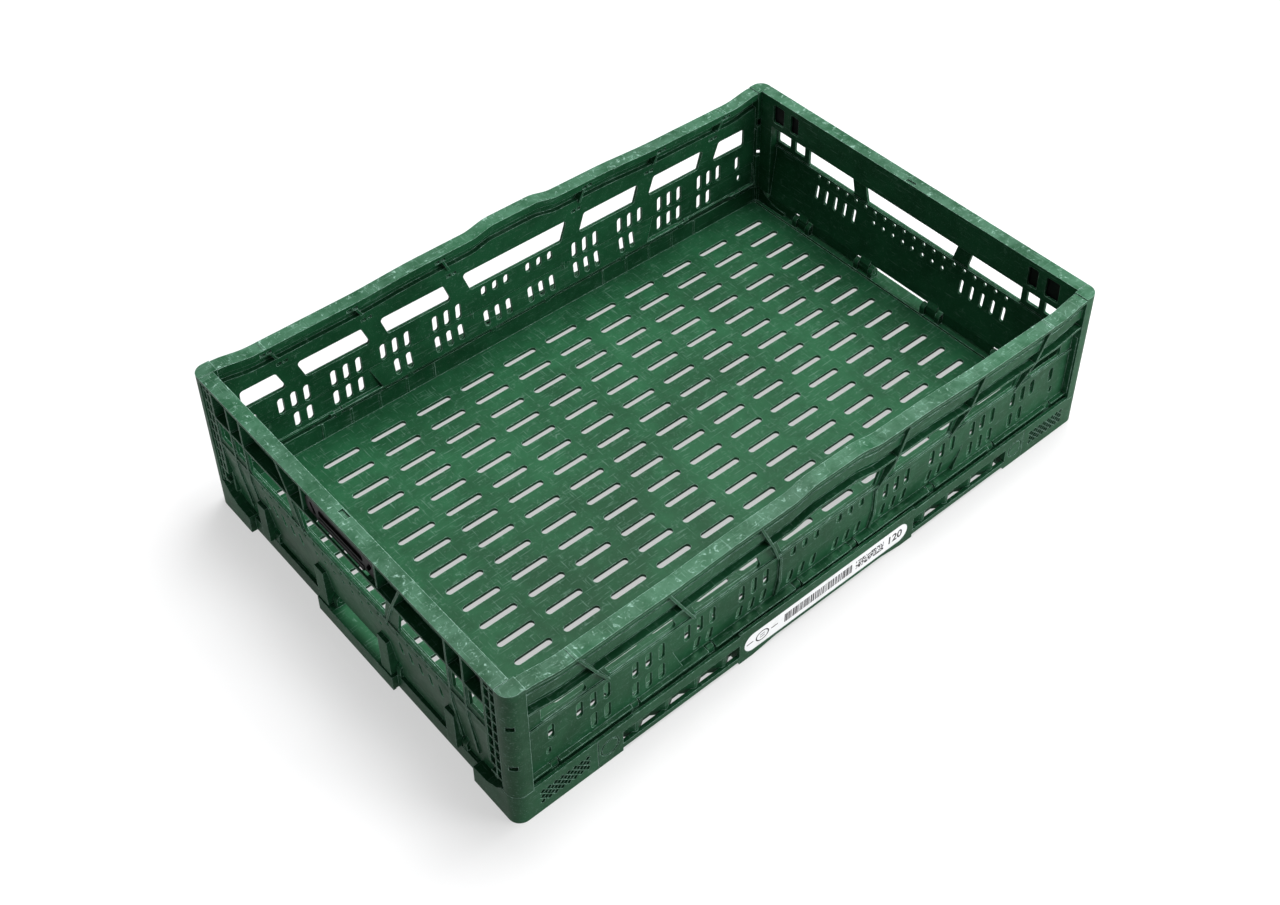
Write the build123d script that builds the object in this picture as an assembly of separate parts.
from build123d import *
import os

os.makedirs("parts", exist_ok=True)

# A folding produce crate on the 600 x 400 mm footprint. Origin on the floor under the middle,
# +X along the long side, +Z up. Every depth is measured inwards from the outer face of a side.

LENGTH = 600.0
WIDTH = 400.0
POST_H = 143.0
CORNER_R = 10.0
SKIN = 2.5
RIM_T = 2.6

# Long walls
LONG_RIM_W = 12.5
POST_IN_Y = 187.0
POST_Z0 = 30.3
PANEL_D = 7.0
CREASE_Z = 60.0
PANEL_Z0 = 36.0
SILL_Z = 86.5
WINDOW_TOP = 106.0
LONG_AXIS_Z = 33.4
LONG_AXIS_D = 8.4
LONG_PIN_R = 1.6
LONG_BORE_R = 1.68
RIM_KEYS = [(-284, 142.0), (-251, 137.6), (-165, 138.2), (-92, 141.3), (-48, 141.6), (-20, 146.5),
            (20, 146.5), (48, 141.6), (92, 141.3), (165, 138.2), (251, 137.6), (284, 142.0)]
RIBS = [(243, 212), (164, 134), (78, 52)]

# Short walls
SHORT_END_Y = 186.6
SHORT_T = 12.3
SHORT_AXIS_X = 290.0
SHORT_AXIS_Z = 20.0
CHANNEL_Z = 113.0
SHORT_Z0 = 15.2
ARM_SPANS = [(36.0, 48.0), (119.0, 130.0)]

# Hinge pins and their ears
PIN_R = 2.5
PIN_BORE_R = 2.58
EAR_T = 5.2
EAR_GAP = 0.5

# Base tray
BASE_H = 30.0
RAIL_H = 32.0
FLOOR_Z0 = 9.0
FLOOR_Z1 = 12.0
TRAY_IN_Y = 189.5
END_TOP = 14.0
END_RECESS = 5.0
FOOT_X = 94.0
CORNER_FOOT_X = 206.0

# Latches: the bar rises, and each latch draws back towards the middle
BAR_TRAVEL = 6.0
LATCH_TRAVEL = 3.4
TONGUE_Y = 188.6
TONGUE_H = 5.0
TONGUE_ZS = [73.0, 108.0]
FACE_HOLE_ZS = [64.0, 108.0]
CAM_Y = 38.0
CAM_Z = 126.0


def block(x0, x1, y0, y1, z0, z1):
    """Box between two opposite corners."""
    size = Box(abs(x1 - x0), abs(y1 - y0), abs(z1 - z0))
    return Pos((x0 + x1) / 2, (y0 + y1) / 2, (z0 + z1) / 2) * size


def along_y(pts, y0, y1):
    """Polygon of (x, z) points extruded from y0 to y1."""
    outline = Polyline(*[(x, y0, z) for x, z in pts], close=True)
    return extrude(make_face(outline), amount=y1 - y0, dir=(0, 1, 0))


def along_x(pts, x0, x1):
    """Polygon of (y, z) points extruded from x0 to x1."""
    outline = Polyline(*[(x0, y, z) for y, z in pts], close=True)
    return extrude(make_face(outline), amount=x1 - x0, dir=(1, 0, 0))


def soft_along_y(pts, radius, y0, y1):
    """Polygon of (x, z) points with rounded corners, extruded from y0 to y1."""
    face = make_face(Polyline(*[(x, y0, z) for x, z in pts], close=True))
    face = fillet(face.vertices(), radius)
    return extrude(face, amount=y1 - y0, dir=(0, 1, 0))


def soft_along_x(pts, radius, x0, x1):
    """Polygon of (y, z) points with rounded corners, extruded from x0 to x1."""
    face = make_face(Polyline(*[(x0, y, z) for y, z in pts], close=True))
    face = fillet(face.vertices(), radius)
    return extrude(face, amount=x1 - x0, dir=(1, 0, 0))


def slots_through_y(xs, z_mid, wide, high, y0, y1):
    """Upright round-ended slots through a wall that faces Y."""
    plane = Plane(origin=(0, y0, 0), x_dir=(1, 0, 0), z_dir=(0, -1, 0))
    shape = Rot(0, 0, 90) * SlotOverall(high, wide)
    sketch = Sketch() + [Pos(x, z_mid) * shape for x in xs]
    return extrude(plane * sketch, amount=y1 - y0, dir=(0, 1, 0))


def slots_through_x(ys, z_mid, wide, high, x0, x1):
    """Upright round-ended slots through a wall that faces X."""
    plane = Plane(origin=(x0, 0, 0), x_dir=(0, 1, 0), z_dir=(1, 0, 0))
    shape = Rot(0, 0, 90) * SlotOverall(high, wide)
    sketch = Sketch() + [Pos(y, z_mid) * shape for y in ys]
    return extrude(plane * sketch, amount=x1 - x0, dir=(1, 0, 0))


def footprint(inset, z0, z1):
    """Rounded plan outline of the crate between two heights."""
    radius = CORNER_R - inset
    sketch = RectangleRounded(LENGTH - 2 * inset, WIDTH - 2 * inset, radius)
    return Pos(0, 0, z0) * extrude(sketch, amount=z1 - z0)


def both(values):
    """Each value and its mirror."""
    return [v for v in values] + [-v for v in values]


def fy(depth):
    """Y of a depth into the front long side."""
    return -WIDTH / 2 + depth


def lx(depth):
    """X of a depth into the left short side."""
    return -LENGTH / 2 + depth


# ---------------------------------------------------------------- long wall


def rim_edges(drop, y):
    """Wavy line of the long rim, lowered by drop, from post to post."""
    edges = []
    for (xa, za), (xb, zb) in zip(RIM_KEYS[:-1], RIM_KEYS[1:]):
        ends = ((xa, y, za - drop), (xb, y, zb - drop))
        edges.append(Spline(*ends, tangents=((1, 0, 0), (1, 0, 0))))
    return edges


def rim_band(drop0, drop1, d0, d1):
    """Strip that follows the rim between two drops and two depths."""
    y = fy(d0)
    top = rim_edges(drop0, y)
    low = rim_edges(drop1, y)
    end_z = RIM_KEYS[0][1]
    ends = [Line((x, y, end_z - drop0), (x, y, end_z - drop1)) for x in (-284, 284)]
    return extrude(make_face(top + low + ends), amount=d1 - d0, dir=(0, 1, 0))


def below_rim(drop, z0, d0, d1):
    """Everything under the wavy rim line, down to z0."""
    y = fy(d0)
    sides = [Line((x, y, RIM_KEYS[0][1] - drop), (x, y, z0)) for x in (-284, 284)]
    floor = Line((-284, y, z0), (284, y, z0))
    return extrude(make_face(rim_edges(drop, y) + sides + [floor]), amount=d1 - d0, dir=(0, 1, 0))


def long_windows():
    """Hand-hold and ventilation windows under the rim."""
    spans = [((229.5, 269.5), (237.2, 269.5)), ((150, 211), (157.1, 218.1)), ((69, 133), (75.6, 139.3))]
    cuts = []
    for low, high in spans:
        for s in (1, -1):
            foot = [(s * low[0], SILL_Z), (s * low[1], SILL_Z)]
            head = [(s * high[1], WINDOW_TOP), (s * high[0], WINDOW_TOP)]
            cuts.append(soft_along_y(foot + head, 3, fy(PANEL_D - 2), fy(PANEL_D + 4)))
    top = WINDOW_TOP + 1.5
    hand = [(-49, SILL_Z), (49, SILL_Z), (56.4, top), (-56.4, top)]
    cuts.append(soft_along_y(hand, 3, fy(PANEL_D - 2), fy(PANEL_D + 4)))
    return cuts


def rib_pockets(s):
    """Pairs of small blind pockets beside each rib, in the inner lip and in the wall below it."""
    cuts = []
    for top_x, low_x in RIBS:
        lip_z = 133.4 if top_x > 100 else 136.6
        low_nub = top_x - 0.43 * (top_x - low_x)
        for x, z, depth in [(top_x, lip_z, LONG_RIM_W), (low_nub, 114, PANEL_D + SKIN)]:
            for shift in (-2.9, 2.9):
                cuts.append(Pos(s * x + shift, fy(depth), z) * Box(4.2, 2.8, 3))
    return cuts


def slanted_rib(top_x, low_x):
    """Thin sloping rib from the rim's edge to the foot of a pillar."""
    top_z = 138.0 if abs(top_x) > 100 else 140.5
    pts = [(top_x - 1.1, top_z), (top_x + 1.1, top_z), (low_x + 1.1, 82), (low_x - 1.1, 82)]
    rib = along_y(pts, fy(0.3), fy(LONG_RIM_W - 0.4))
    rib -= block(-300, 300, fy(PANEL_D + SKIN), fy(20), 0, 122)
    taper = [(fy(-1), 108), (fy(0.3), 108), (fy(PANEL_D - 1), 80), (fy(-1), 80)]
    return rib - along_x(taper, -300, 300)


def lower_panel():
    """Lower part of the wall: it leans inwards, except for two flush pads."""
    out = fy(PANEL_D)
    top_in = out + 2.2
    low_out = fy(10.7)
    low_in = low_out + 2.1
    top = CREASE_Z + 0.1
    low = PANEL_Z0 - 0.5
    panel = along_x([(out, top), (top_in, top), (low_in, low), (low_out, low)], -284, 284)
    merge = CREASE_Z + 0.5
    fill = along_x([(out, merge), (out + 1, merge), (low_in, PANEL_Z0), (out, PANEL_Z0)], -284, 284)
    for s in (1, -1):
        trap = [(s * 156, CREASE_Z), (s * 282, CREASE_Z), (s * 282, PANEL_Z0), (s * 146, PANEL_Z0)]
        wide = [(s * 154.2, merge), (s * 283.4, merge), (s * 283.4, PANEL_Z0), (s * 144.2, PANEL_Z0)]
        hollow = along_y(trap, fy(4), fy(14))
        cheeks = (along_y(wide, out, fy(13)) & fill) - hollow
        panel = panel - hollow + along_y(trap, out, top_in) + cheeks
    return panel


def long_wall_hinges():
    """Knuckle pairs with their pins, hanging from the wall's lower flange."""
    parts = []
    cuts = []
    axis_y = fy(LONG_AXIS_D)
    for x in both([30.0, 118.0, 190.0, 262.0]):
        cuts.append(block(x - 3.7, x + 3.7, fy(-1), fy(12.4), 20, LONG_AXIS_Z + 3.4))
        parts.append(Pos(x, axis_y, LONG_AXIS_Z) * Rot(0, 90, 0) * Cylinder(LONG_PIN_R, 14))
        for side in (x - 5.5, x + 5.5):
            parts.append(Pos(side, axis_y, LONG_AXIS_Z) * Rot(0, 90, 0) * Cylinder(2.8, 3))
    return parts, cuts


def post(side):
    """Hollow corner post with its latch pockets and two small face holes."""
    s = side
    shell = footprint(0, POST_Z0, POST_H) & block(s * 284, s * 301, fy(-1), -POST_IN_Y, 0, 200)
    room = footprint(SKIN, POST_Z0 + 2.4, POST_H - RIM_T)
    room = room & block(s * 286.4, s * 301, fy(-1), -POST_IN_Y - SKIN, 0, 200)
    shell -= room
    for z in TONGUE_ZS:
        shelf = block(s * 286, s * 297, fy(2.4), -POST_IN_Y - SKIN + 0.5, z + 6, z + 7.6)
        shell += shelf & footprint(1, 0, 150)
    for z in FACE_HOLE_ZS:
        hole = Pos(s * 290, fy(CORNER_R), z) * Rot(0, 0, -45 * s) * Pos(s * 9, 0, 0)
        shell -= hole * Box(7, 6.4, 4.6)
    shell += block(s * 283.5, s * 285, fy(2), -POST_IN_Y, 37, 100)
    for z in TONGUE_ZS:
        shell -= block(s * 282, s * 297.2, -POST_IN_Y - SKIN - 0.1, -POST_IN_Y + 1, z - 4.4, z + 4.4)
    return shell


def long_wall():
    """One long side wall, built at the front of the crate."""
    skin = below_rim(17.6, CREASE_Z, PANEL_D, PANEL_D + SKIN)
    for cut in long_windows():
        skin -= cut
    wall = skin + rim_band(0, RIM_T, 0, LONG_RIM_W)
    wall += rim_band(RIM_T - 0.1, 7, LONG_RIM_W - 2, LONG_RIM_W)
    wall += rim_band(8, 11, 3.4, 5.0)
    wall += rim_band(10.9, 20, 2.8, 5.0)
    wall += rim_band(17.6, 20, 4.9, PANEL_D + 0.1)
    wall += rim_band(28.6, 30.6, 0.9, PANEL_D + 0.1)
    wall += block(-284, 284, fy(PANEL_D - 1.3), fy(PANEL_D + 0.1), SILL_Z - 2.6, SILL_Z - 0.6)
    wall += lower_panel()
    for top_x, low_x in RIBS:
        wall += slanted_rib(top_x, low_x)
        wall += slanted_rib(-top_x, -low_x)
    brace = [(fy(5), 82), (fy(5), 55), (fy(8.6), 37), (fy(11.2), 37), (fy(8.4), 82)]
    for x in (-50.3, 50.3):
        wall += along_x(brace, x - 1.1, x + 1.1)
    flange = [(12.6, 33.8), (3.6, 34.4), (3.6, 35.6), (6.8, 36.4), (12.6, 36.4)]
    wall += along_x([(fy(d), z) for d, z in flange], -284, 284)
    for s in (1, -1):
        wall -= block(s * 198, s * 251, fy(10.7), fy(14), 30, 50)
    high = [63.4, 75.4, 87.4, 116, 128, 140, 164, 176, 188, 213.5, 225.5, 237.5]
    wall -= slots_through_y(both(high), 70, 5.6, 17, fy(PANEL_D - 2), fy(PANEL_D + 4))
    wall -= slots_through_y(both([262]), 69, 5.2, 15, fy(PANEL_D - 2), fy(PANEL_D + 4))
    wall -= slots_through_y(both([12, 24, 36]), 78, 5.4, 10, fy(PANEL_D - 1.2), fy(PANEL_D + 4))
    low = [12, 24, 36, 63.5, 75.5, 87.5, 117, 129, 164, 176, 188, 213.5, 225.5]
    wall -= slots_through_y(both(low), 47.5, 5.6, 16, fy(PANEL_D - 2), fy(14))
    wall -= slots_through_y(both([265]), 50, 4, 7, fy(PANEL_D - 2), fy(14))
    for s in (1, -1):
        for pocket in rib_pockets(s):
            wall -= pocket
    knuckles, notches = long_wall_hinges()
    for notch in notches:
        wall -= notch
    for knuckle in knuckles:
        wall += knuckle
    for s in (1, -1):
        wall += post(s)
    return wall


# --------------------------------------------------------------- short wall


def short_windows():
    """Hand-hold, side and end windows of the short wall."""
    top = CHANNEL_Z - 2.5
    cuts = [soft_along_x([(-51.5, SILL_Z), (51.5, SILL_Z), (57.8, top), (-57.8, top)], 2.4, lx(0), lx(7))]
    for s in (1, -1):
        side = [(s * 68.5, SILL_Z), (s * 128.5, SILL_Z), (s * 128.5, top), (s * 73.5, top)]
        cuts.append(soft_along_x(side, 2.4, lx(0), lx(7)))
        for a, b in [(134.5, 147.5), (153.5, 170)]:
            small = [(s * a, 91), (s * b, 91), (s * b, top), (s * a, top)]
            cuts.append(soft_along_x(small, 1.5, lx(0), lx(7)))
    return cuts


def corner_clearance(lift):
    """Region taken by the base's rising corner block, raised by lift."""
    top = [(150, 17), (166, 18), (178, 24), (184.5, 31), (192, 31.5)]
    return [(150, -9)] + [(y, z + lift) for y, z in top] + [(192, -9)]


def end_grid(s):
    """Column of small pockets beside each end of the short wall."""
    grid = block(lx(0.8), lx(4.4), s * 179, s * 180.4, 36, 140.5)
    for i in range(10):
        z = 38 + 10.6 * i
        grid += block(lx(0.8), lx(4.4), s * 173, s * 186, z, z + 1.6)
    return grid


def short_wall():
    """One short side wall, built at the left of the crate."""
    e = SHORT_END_Y
    wall = block(lx(0), lx(SHORT_T), -e, e, POST_H - RIM_T, POST_H)
    wall += block(lx(10), lx(SHORT_T), -e, e, CHANNEL_Z - 2, POST_H - RIM_T + 0.1)
    wall += block(lx(0.5), lx(10.1), -173, 173, CHANNEL_Z - 2, CHANNEL_Z)
    frame = block(lx(1.5), lx(4), -173, 173, 76, CHANNEL_Z - 1.9)
    for cut in short_windows():
        frame -= cut
    wall += frame
    wall += block(lx(0.5), lx(5.5), -173, 173, SILL_Z - 2.4, SILL_Z - 0.4)
    lean = [(76.1, 1.5), (76.1, 4), (27, 9.9), (27, 7.7)]
    outline = Polyline(*[(lx(d), -173, z) for z, d in lean], close=True)
    wall += extrude(make_face(outline), amount=346, dir=(0, 1, 0))
    for s in (1, -1):
        wall += block(lx(7.7), lx(9.9), s * 54.3, s * 112.7, SHORT_Z0, 27.1)
        wall += block(lx(7.7), lx(9.9), s * 136.3, s * 173, SHORT_Z0, 27.1)
        wall += block(lx(10), lx(SHORT_T), s * 171.8, s * e, 30, CHANNEL_Z)
        wall += block(lx(0.9), lx(SHORT_T), s * 184.9, s * e, 30, POST_H - 1)
        wall += block(lx(0.4), lx(10.1), s * 171.8, s * 174.2, 50, POST_H - 1)
        wall += block(lx(4), lx(10.1), s * 171.8, s * 174.2, 27, 50.1)
        wall += block(lx(0.4), lx(10.1), s * 130, s * 132, CHANNEL_Z - 1, POST_H - 1)
        wall += block(lx(0.4), lx(10.1), s * 149, s * 151, CHANNEL_Z - 1, POST_H - 1)
        rib = [(0.4, 113), (4, 113), (4, 76), (9.6, 27.5), (5.5, 27.5), (0.4, 76)]
        for y in (130, 149):
            foot = Polyline(*[(lx(d), s * y, z) for d, z in rib], close=True)
            wall += extrude(make_face(foot), amount=2, dir=(0, s, 0))
        pillar = [(s * 79, 141), (s * 81.4, 141), (s * 67.5, 112), (s * 65.1, 112)]
        wall += along_x(pillar, lx(0.4), lx(10.1))
        stem = [(s * 67.5, 113), (s * 65.1, 113), (s * 53.6, 84), (s * 56, 84)]
        wall += along_x(stem, lx(0.4), lx(4))
        wall += block(lx(1.2), lx(10.1), s * 46.6, s * 48.4, CHANNEL_Z - 1, POST_H - 1)
        wall += end_grid(s)
        for a, b in ARM_SPANS:
            arm = [(1, 52), (1, SHORT_Z0), (SHORT_T, SHORT_Z0), (SHORT_T, 25), (9.5, 30), (6.5, 52)]
            foot = Polyline(*[(lx(d), s * a, z) for d, z in arm], close=True)
            wall += extrude(make_face(foot), amount=b - a, dir=(0, s, 0))
            reach = EAR_T + EAR_GAP - 0.3
            pin = Cylinder(PIN_R, b - a + 2 * reach)
            wall += Pos(-SHORT_AXIS_X, s * (a + b) / 2, SHORT_AXIS_Z) * Rot(90, 0, 0) * pin
        wall -= along_x([(s * y, z) for y, z in corner_clearance(0.8)], lx(-2), lx(14))
        for a, b in [(137, 147.5), (156, 170)]:
            sight = [(s * a, 117), (s * b, 117), (s * b, 137), (s * a, 137)]
            wall -= soft_along_x(sight, 2, lx(9.9), lx(13))
        for z in TONGUE_ZS:
            wall -= block(lx(4.4), lx(10), s * 184.4, s * 188, z - 3.5, z + 3.5)
        wall -= block(lx(7.4), lx(10), s * 46, s * 152, CAM_Z - 4.6, CAM_Z + 4.6)
        wall -= block(lx(7.4), lx(10), s * 171, s * 175, CAM_Z - 4.6, CAM_Z + 4.6)
    wall -= block(lx(2.4), lx(9.6), -34, 34, CHANNEL_Z - 3, CHANNEL_Z + 0.1)
    wall -= block(lx(7.4), lx(11.4), -5, 5, POST_H - 1.6, POST_H + 1)
    wall -= slots_through_x(both([6, 18, 30, 42, 54, 66, 78, 90, 102, 114]), 80.5, 3.4, 4.6, lx(0), lx(5))
    wall -= slots_through_x(both([66, 78, 90, 102, 114]), 63, 3.6, 15, lx(0), lx(8))
    wall -= slots_through_x(both([6, 18, 30, 42]), 69, 3.4, 4.6, lx(0), lx(8))
    return wall & footprint(0, 0, POST_H)


# ------------------------------------------------------------------ latches


def lift_bar():
    """Grip bar in the channel of the left short wall, with its two cam slots."""
    body = [(-45.5, 115.8), (45.5, 115.8), (45.5, 131.5), (-45.5, 131.5)]
    plate = soft_along_x(body, 6, lx(3.4), lx(7.6))
    lip = soft_along_x([(-30, 113.6), (30, 113.6), (30, 119), (-30, 119)], 1.6, lx(2.8), lx(9.2))
    bar = plate + lip
    bar -= soft_along_x([(-30, 121.5), (30, 121.5), (27, 128.5), (-27, 128.5)], 2.5, lx(3), lx(5.2))
    for s in (1, -1):
        near = (s * CAM_Y, CAM_Z)
        far = (s * (CAM_Y - LATCH_TRAVEL), CAM_Z - BAR_TRAVEL)
        run = (LATCH_TRAVEL ** 2 + BAR_TRAVEL ** 2) ** 0.5
        slope = (0, far[0] - near[0], far[1] - near[1])
        plane = Plane(origin=(lx(2), near[0], near[1]), x_dir=slope, z_dir=(1, 0, 0))
        slot = plane * (Pos(run / 2, 0) * SlotOverall(run + 3.9, 3.9))
        bar -= extrude(slot, amount=8, dir=(1, 0, 0))
    return bar


def latch(s):
    """Latch slide on one side of the left short wall: arm, cam pin and two tongues."""
    arm = block(lx(8), lx(9.6), s * 35.8, s * 178.5, CAM_Z - 4, CAM_Z + 4)
    arm += Pos(lx(6.3), s * CAM_Y, CAM_Z) * Rot(0, 90, 0) * Cylinder(1.6, 4)
    arm += block(lx(6.2), lx(9.6), s * 178, s * 184.4, 64, 136)
    for a, b in [(135.8, 148.6), (154.8, 171.4)]:
        arm += block(lx(8), lx(9.6), s * a, s * b, 115.4, 138.6)
    for z in TONGUE_ZS:
        arm += block(lx(5), lx(9.6), s * 178, s * TONGUE_Y, z - TONGUE_H / 2, z + TONGUE_H / 2)
    return arm


# --------------------------------------------------------------------- base


def floor_plate():
    """Slotted floor with a grid of stiffening ribs under it."""
    plate = block(-289, 289, -TRAY_IN_Y - 0.5, TRAY_IN_Y + 0.5, FLOOR_Z0, FLOOR_Z1)
    slot = SlotOverall(34, 6)
    spots = [Pos(-253 + 46 * i, -162 + 21.6 * j) for i in range(12) for j in range(16)]
    plate -= Pos(0, 0, FLOOR_Z0 - 1) * extrude(Sketch() + [p * slot for p in spots], amount=6)
    for i in range(13):
        x = -276 + 46 * i
        plate += block(x - 1, x + 1, -TRAY_IN_Y, TRAY_IN_Y, 3, FLOOR_Z0 + 0.1)
    for j in range(9):
        y = -172.8 + 43.2 * j
        plate += block(-289, 289, y - 1, y + 1, 3, FLOOR_Z0 + 0.1)
    return plate


def zigzag(x0, x1, cells, z0, z1):
    """Zigzag webs between the outer rail and the tray wall of the front skirt."""
    step = (x1 - x0) / cells
    webs = []
    for i in range(cells):
        a, b = (2.0, 10.8) if i % 2 else (10.8, 2.0)
        xa = x0 + step * i
        xb = xa + step
        pts = [(xa - 0.9, fy(a)), (xa + 0.9, fy(a)), (xb + 0.9, fy(b)), (xb - 0.9, fy(b))]
        outline = Polyline(*[(x, y, z0) for x, y in pts], close=True)
        webs.append(extrude(make_face(outline), amount=z1 - z0, dir=(0, 0, 1)))
    return webs


def long_skirt():
    """Front skirt of the base: rails, webs, feet and the tray wall behind them."""
    skirt = block(-286, 286, -TRAY_IN_Y - 2.2, -TRAY_IN_Y, 3, BASE_H)
    skirt += block(-286, 286, fy(0), -TRAY_IN_Y, BASE_H - SKIN, BASE_H)
    skirt += block(-284, 284, fy(0), fy(2.4), 22, RAIL_H)
    skirt += block(-284, 284, fy(0), fy(3.4), 3.2, 8)
    for s in (1, -1):
        for web in zigzag(s * FOOT_X, s * CORNER_FOOT_X, 8, 3.2, BASE_H - 1):
            skirt += web
    wave = [(-FOOT_X, RAIL_H + 2), (-FOOT_X, 0), (-80, 0), (-58, 3.2), (-44, 6), (44, 6), (58, 3.2),
            (80, 0), (FOOT_X, 0), (FOOT_X, RAIL_H + 2)]
    foot = make_face(Polyline(*[(x, fy(0), z) for x, z in wave], close=True))
    skirt += extrude(foot, amount=SKIN, dir=(0, 1, 0))
    for x in both([24.0, 70.0, FOOT_X - 1.2, CORNER_FOOT_X + 1.2, 250.0]):
        low = 6 if abs(x) < 44 else 0.8
        skirt += block(x - 1.2, x + 1.2, fy(0.4), -TRAY_IN_Y - 1, low, BASE_H - 1)
    for s in (1, -1):
        skirt += block(s * CORNER_FOOT_X, s * 284, fy(0), fy(SKIN), 0, RAIL_H)
        skirt += block(s * CORNER_FOOT_X, s * 284, fy(0), -TRAY_IN_Y - 1, 0, 2)
        skirt += block(s * 60, s * FOOT_X, fy(0.1), -TRAY_IN_Y - 1, 3.2, 5)
    for x in both([30.0, 118.0, 190.0, 262.0]):
        skirt += long_hinge_ear(x)
    return skirt


def long_hinge_ear(x):
    """Upright ear of the base with the bore that a long wall's pin turns in."""
    y = fy(LONG_AXIS_D)
    ear = block(x - 3, x + 3, y - 3, y + 3, BASE_H - 1, LONG_AXIS_Z)
    ear += Pos(x, y, LONG_AXIS_Z) * Rot(0, 90, 0) * Cylinder(3, 6)
    return ear


def foot_details(s):
    """Lattice of pockets, upright seam and round recess in a corner foot's face."""
    cuts = []
    for i in range(15):
        rows = (10.4, 16.0, 21.6) if i % 2 == 0 else (13.2, 18.8)
        for z in rows:
            x = s * (238 + 2.8 * i)
            cuts.append(Pos(x, fy(0), z) * Rot(0, 45, 0) * Box(3.4, 3.6, 3.4))
    cuts.append(block(s * 228, s * 228.8, fy(-1), fy(0.6), 1, 31))
    cuts.append(Pos(s * 218, fy(0), 16.5) * Rot(90, 0, 0) * (Cylinder(8.6, 1.6) - Cylinder(7.2, 2)))
    return cuts


def short_end():
    """Left end of the base: middle foot, recessed sill, corner blocks and hinge ears."""
    end = block(lx(END_RECESS), lx(END_RECESS + SKIN), -152, 152, 0, END_TOP)
    end += block(lx(END_RECESS), lx(15), -152, 152, END_TOP - 2.4, END_TOP)
    end += block(lx(12), lx(15), -TRAY_IN_Y, TRAY_IN_Y, 3, END_TOP)
    end += block(lx(0), lx(SKIN), -50, 50, 0, END_TOP)
    end += block(lx(0), lx(8), -50, 50, END_TOP - 2.4, END_TOP)
    for y in (-48.8, -16, 16, 48.8):
        end += block(lx(0.4), lx(13), y - 1.2, y + 1.2, 0.8, END_TOP - 1)
    for y in both([84.0, 118.0]):
        end += block(lx(END_RECESS + 0.4), lx(13), y - 1.2, y + 1.2, 0.8, END_TOP - 1)
    for s in (1, -1):
        for a, b in ARM_SPANS:
            end += short_hinge_ear(s * (a - EAR_GAP - EAR_T / 2))
            end += short_hinge_ear(s * (b + EAR_GAP + EAR_T / 2))
    return end


def short_hinge_ear(y):
    """Upright ear of the base with the bore that a short wall's pin turns in."""
    low = END_TOP - 1
    ear = Pos(-SHORT_AXIS_X, y, (low + SHORT_AXIS_Z) / 2) * Box(8.8, EAR_T, SHORT_AXIS_Z - low)
    ear += Pos(-SHORT_AXIS_X, y, SHORT_AXIS_Z) * Rot(90, 0, 0) * Cylinder(4.4, EAR_T)
    return ear


def corner_block(s):
    """Solid-looking hollow corner of the base at the front, left or right."""
    shell = footprint(0, 0, BASE_H) & block(s * 284, s * 301, fy(-1), -TRAY_IN_Y + 0.1, 0, BASE_H)
    shell -= footprint(SKIN, 2, BASE_H - 2.4) & block(s * 284, s * 301, fy(-1), -TRAY_IN_Y, 0, BASE_H)
    rise = [(-y, z) for y, z in corner_clearance(0)]
    wing = along_x(rise, s * 289.6, s * 301) & block(s * 289.6, s * 301, -187, -150, 0, 40)
    wing = wing & footprint(0, 0, 60)
    inner = along_x([(-y, z - 2.4) for y, z in corner_clearance(0)], s * 291.8, s * (300 - SKIN))
    wing -= inner & block(s * 286, s * 301, -187.2, -152.4, 2, 40)
    web = block(s * 286.3, s * 300, -TRAY_IN_Y, -187, 0, BASE_H) & footprint(0, 0, 60)
    return shell + wing + web


def base_tray():
    """The whole base moulding."""
    tray = floor_plate()
    turn = Rot(0, 0, 180)
    skirt = long_skirt()
    for s in (1, -1):
        for cut in foot_details(s):
            skirt -= cut
    end = short_end()
    corners = corner_block(1) + corner_block(-1)
    tray += skirt
    tray += turn * skirt
    tray += end
    tray += turn * end
    tray += corners
    tray += turn * corners
    for x in both([30.0, 118.0, 190.0, 262.0]):
        for y in (fy(LONG_AXIS_D), -fy(LONG_AXIS_D)):
            tray -= Pos(x, y, LONG_AXIS_Z) * Rot(0, 90, 0) * Cylinder(LONG_BORE_R, 20)
    for sx in (1, -1):
        bore = Pos(sx * SHORT_AXIS_X, 0, SHORT_AXIS_Z) * Rot(90, 0, 0) * Cylinder(PIN_BORE_R, 300)
        tray -= bore
    tray -= label_shape(0.4, 0, 0.45)
    return tray


def label_shape(grow, d0, d1):
    """Round-ended label outline on the front middle foot, between two depths."""
    plane = Plane(origin=(-1, fy(d0), 15.8), x_dir=(1, 0, 0), z_dir=(0, -1, 0))
    outline = plane * SlotOverall(176 + grow, 18.4 + grow)
    return extrude(outline, amount=d1 - d0, dir=(0, 1, 0))


def save(shape, node):
    """Write one solid as a STEP file."""
    solids = shape.solids()
    print(node, len(solids), round(shape.volume / 1000, 1))
    export_step(shape, f"parts/{node}.step")


front = long_wall()
left = short_wall()
bar = lift_bar()
turn_round = Rot(0, 0, 180)
save(base_tray(), "base_tray")
save(front, "long_wall_front")
save(turn_round * front, "long_wall_back")
save(left, "short_wall_left")
save(turn_round * left, "short_wall_right")
save(bar, "lift_bar_left")
save(turn_round * bar, "lift_bar_right")
save(latch(-1), "latch_left_front")
save(latch(1), "latch_left_back")
save(turn_round * latch(1), "latch_right_front")
save(turn_round * latch(-1), "latch_right_back")
save(label_shape(0, 0.1, 0.4), "label_front")
